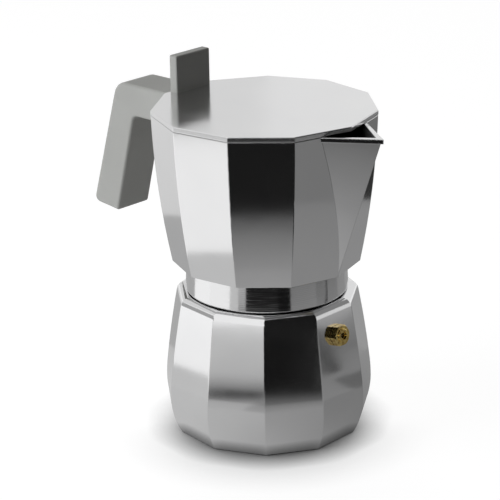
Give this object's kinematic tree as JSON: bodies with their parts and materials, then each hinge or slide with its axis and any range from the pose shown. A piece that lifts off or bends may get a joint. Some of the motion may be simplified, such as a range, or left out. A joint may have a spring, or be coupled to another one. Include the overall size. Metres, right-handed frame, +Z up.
{
  "type": "moka pot",
  "caption": "Faceted stove-top moka pot: bellied boiler with safety valve, screw-on collector with a pouring spout, flat hinged lid with upright knob, angular handle.",
  "frame": {"origin": "centre of the boiler's flat base", "axes": "+Z up along the pot's axis, +X towards the spout, handle on -X"},
  "size_m": [0.1769, 0.1038, 0.173],
  "materials": {
    "polished_aluminium": "satin polished casting",
    "plain_aluminium": "spun and pressed sheet",
    "brass": "turned",
    "steel": "bright",
    "grey_plastic": "moulded satin grey",
    "white_rubber": "matte",
    "fibre_washer": "matte"
  },
  "bodies": {
    "base": {"boiler": "polished_aluminium", "valve_body": "brass", "valve_washer": "fibre_washer", "valve_spring": "steel", "valve_retainer": "brass", "funnel_basket": "plain_aluminium", "funnel_stem": "plain_aluminium", "funnel_screen": "plain_aluminium"},
    "valve": {"valve_plunger": "brass"},
    "seal": {"gasket": "white_rubber", "filter_plate": "plain_aluminium"},
    "pot": {"collector": "polished_aluminium", "column": "plain_aluminium", "column_cap": "plain_aluminium", "handle": "grey_plastic", "handle_screw": "steel", "hinge_pin": "steel"},
    "cover": {"lid": "polished_aluminium", "lid_knob": "grey_plastic", "knob_screws": "steel"}
  },
  "joints": [
    {"name": "valve_lift", "type": "slide", "parent": "base", "child": "valve", "axis": [0.9865, 0, 0.1635], "range_m": [0, 0.0015], "stiffness_N_per_m": 1000, "springref_m": -0.0015, "deforming": ["valve_spring"]},
    {"name": "collector_rise", "type": "slide", "parent": "base", "child": "seal", "axis": [0, 0, 1], "range_m": [0, 0.01]},
    {"name": "collector_unscrew", "type": "hinge", "parent": "seal", "child": "pot", "pos_m": [0, 0, 0.082], "axis": [0, 0, 1], "range_deg": [0, 900]},
    {"name": "lid_hinge", "type": "hinge", "parent": "pot", "child": "cover", "pos_m": [-0.0535, 0, 0.1516], "axis": [0, -1, 0], "range_deg": [0, 90]}
  ],
  "couplings": [
    {"joint": "collector_rise", "follows": "collector_unscrew", "m_per_rad": 0.00063662}
  ]
}
